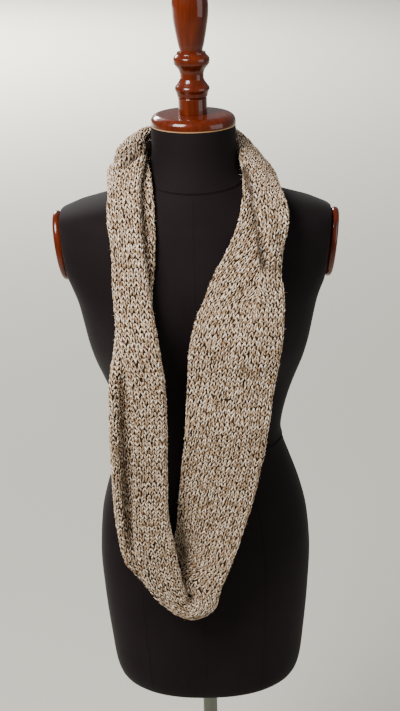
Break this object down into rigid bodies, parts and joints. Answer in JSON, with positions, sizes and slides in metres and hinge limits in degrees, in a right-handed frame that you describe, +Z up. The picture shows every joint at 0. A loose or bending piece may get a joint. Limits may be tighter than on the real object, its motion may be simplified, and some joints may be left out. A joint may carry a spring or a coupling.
{
  "type": "knitted neck warmer on a dress form",
  "caption": "Long looped neck warmer in plain marl knit, folded and hung round the neck of a limbless dress form that stands on a pole and round base.",
  "frame": {"origin": "centre of the round base plate's underside, on the pole's axis", "axes": "+Z up along the pole, -Y the way the form faces, +X to the right as seen from the front"},
  "size_m": [0.387, 0.37, 1.5283],
  "materials": {
    "marl_knit": "soft marl stockinette knit in cream, greige and caramel",
    "form_fabric": "near-black matt jersey",
    "mahogany": "glossy reddish varnish",
    "satin_steel": "satin"
  },
  "bodies": {
    "root": {"warmer_neck_back": "marl_knit", "warmer_left_strand": "marl_knit", "warmer_bottom_turn": "marl_knit", "warmer_right_strand": "marl_knit", "form_torso": "form_fabric", "neck_cap": "mahogany", "finial": "mahogany", "armhole_plate_left": "mahogany", "armhole_plate_right": "mahogany", "pole_collar": "satin_steel", "pole": "satin_steel", "base_plate": "satin_steel"}
  },
  "joints": []
}
